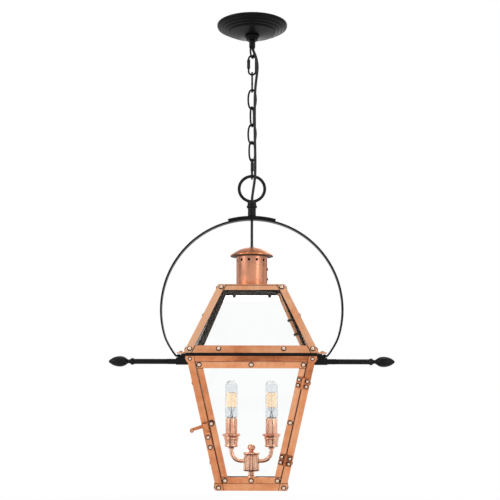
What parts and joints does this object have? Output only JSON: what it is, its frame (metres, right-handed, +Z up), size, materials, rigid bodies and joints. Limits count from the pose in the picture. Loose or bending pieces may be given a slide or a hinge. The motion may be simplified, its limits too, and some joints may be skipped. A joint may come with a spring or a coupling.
{
  "type": "hanging lantern",
  "caption": "Four-sided copper lantern with glass panes, hinged door, chimney cap and two candle lamps, on a black yoke with side arms, chain and ceiling canopy.",
  "frame": {"origin": "centre of the ceiling plane, where the canopy's hollow stud comes through", "axes": "+Z up into the ceiling, -Y towards the door, +X to the right as the door is faced"},
  "size_m": [0.573, 0.2554, 0.947],
  "materials": {
    "copper": "brushed copper, lightly aged, dark patina in the corners and on the inner faces",
    "antique_copper": "antique pinkish copper with dark recesses",
    "black_iron": "satin black",
    "zinc_steel": "zinc plated",
    "clear_glass": "clear, polished",
    "bulb_glass": "clear tube with a warm filament",
    "black_phenolic": "moulded black",
    "cord_jacket": "black vinyl jacket"
  },
  "bodies": {
    "ceiling": {"ceiling_crossbar": "zinc_steel", "canopy": "black_iron", "canopy_collar_nut": "black_iron", "canopy_loop": "black_iron", "supply_cord": "cord_jacket"},
    "link_1": {"quick_link_top": "black_iron", "quick_link_top_nut": "black_iron"},
    "link_2": {"chain_link_2": "black_iron"},
    "link_3": {"chain_link_3": "black_iron"},
    "link_4": {"chain_link_4": "black_iron"},
    "link_5": {"chain_link_5": "black_iron"},
    "link_6": {"chain_link_6": "black_iron"},
    "link_7": {"quick_link_bottom": "black_iron", "quick_link_bottom_nut": "black_iron"},
    "lantern": {"hanging_ring": "black_iron", "stem_coupler": "black_iron", "crown_plate": "black_iron", "yoke_hoop": "black_iron", "arm_bracket_left": "black_iron", "arm_bracket_right": "black_iron", "side_arm_left": "black_iron", "side_arm_right": "black_iron", "chimney_cap": "copper", "chimney": "copper", "roof_top_plate": "copper", "roof_eave": "copper", "roof_hip_front_left": "copper", "roof_hip_front_right": "copper", "roof_hip_rear_left": "copper", "roof_hip_rear_right": "copper", "roof_glass_front": "clear_glass", "roof_glass_right": "clear_glass", "roof_glass_rear": "clear_glass", "roof_glass_left": "clear_glass", "header_rail": "copper", "base_pan": "copper", "corner_post_front_left": "copper", "corner_post_front_right": "copper", "corner_post_rear_left": "copper", "corner_post_rear_right": "copper", "side_glass_right": "clear_glass", "side_glass_rear": "clear_glass", "side_glass_left": "clear_glass", "latch_keeper": "copper", "hinge_leaf_upper_frame": "copper", "hinge_leaf_lower_frame": "copper", "cluster_body": "antique_copper", "candle_cup_left": "antique_copper", "candle_sleeve_left": "antique_copper", "lamp_socket_left": "black_phenolic", "candle_cup_right": "antique_copper", "candle_sleeve_right": "antique_copper", "lamp_socket_right": "black_phenolic"},
    "door": {"door_frame": "copper", "door_glass": "clear_glass", "hinge_leaf_upper_door": "copper", "hinge_leaf_lower_door": "copper"},
    "latch": {"latch_lever": "copper"},
    "bulb_left": {"bulb_left": "bulb_glass"},
    "bulb_right": {"bulb_right": "bulb_glass"}
  },
  "joints": [
    {"name": "swing_link_1", "type": "hinge", "parent": "ceiling", "child": "link_1", "pos_m": [0, 0, -0.07115], "axis": [0.3256, 0.9455, 0], "range_deg": [-12, 12], "deforming": ["supply_cord"]},
    {"name": "swing_link_2", "type": "hinge", "parent": "link_1", "child": "link_2", "pos_m": [0, 0, -0.10798], "axis": [1, 0, 0], "range_deg": [-12, 12]},
    {"name": "swing_link_3", "type": "hinge", "parent": "link_2", "child": "link_3", "pos_m": [0, 0, -0.14488], "axis": [0, 1, 0], "range_deg": [-12, 12]},
    {"name": "swing_link_4", "type": "hinge", "parent": "link_3", "child": "link_4", "pos_m": [0, 0, -0.18178], "axis": [1, 0, 0], "range_deg": [-12, 12]},
    {"name": "swing_link_5", "type": "hinge", "parent": "link_4", "child": "link_5", "pos_m": [0, 0, -0.21868], "axis": [0.4226, 0.9063, 0], "range_deg": [-12, 12]},
    {"name": "swing_link_6", "type": "hinge", "parent": "link_5", "child": "link_6", "pos_m": [0, 0, -0.25558], "axis": [0.9877, -0.1564, 0], "range_deg": [-12, 12]},
    {"name": "swing_link_7", "type": "hinge", "parent": "link_6", "child": "link_7", "pos_m": [0, 0, -0.29248], "axis": [0.7314, 0.682, 0], "range_deg": [-12, 12]},
    {"name": "swing_lantern", "type": "hinge", "parent": "link_7", "child": "lantern", "pos_m": [0, 0, -0.32938], "axis": [-0.0698, 0.9976, 0], "range_deg": [-12, 12]},
    {"name": "door_swing", "type": "hinge", "parent": "lantern", "child": "door", "pos_m": [0.0806, -0.09812, -0.81669], "axis": [0.2112, -0.2112, 0.9543], "range_deg": [0, 105]},
    {"name": "latch_lift", "type": "hinge", "parent": "door", "child": "latch", "pos_m": [-0.075, -0.09622, -0.81973], "axis": [0, 0.9764, 0.2161], "range_deg": [0, 70]},
    {"name": "bulb_left_out", "type": "slide", "parent": "lantern", "child": "bulb_left", "axis": [0, 0, 1], "range_m": [0, 0.03]},
    {"name": "bulb_right_out", "type": "slide", "parent": "lantern", "child": "bulb_right", "axis": [0, 0, 1], "range_m": [0, 0.03]}
  ]
}
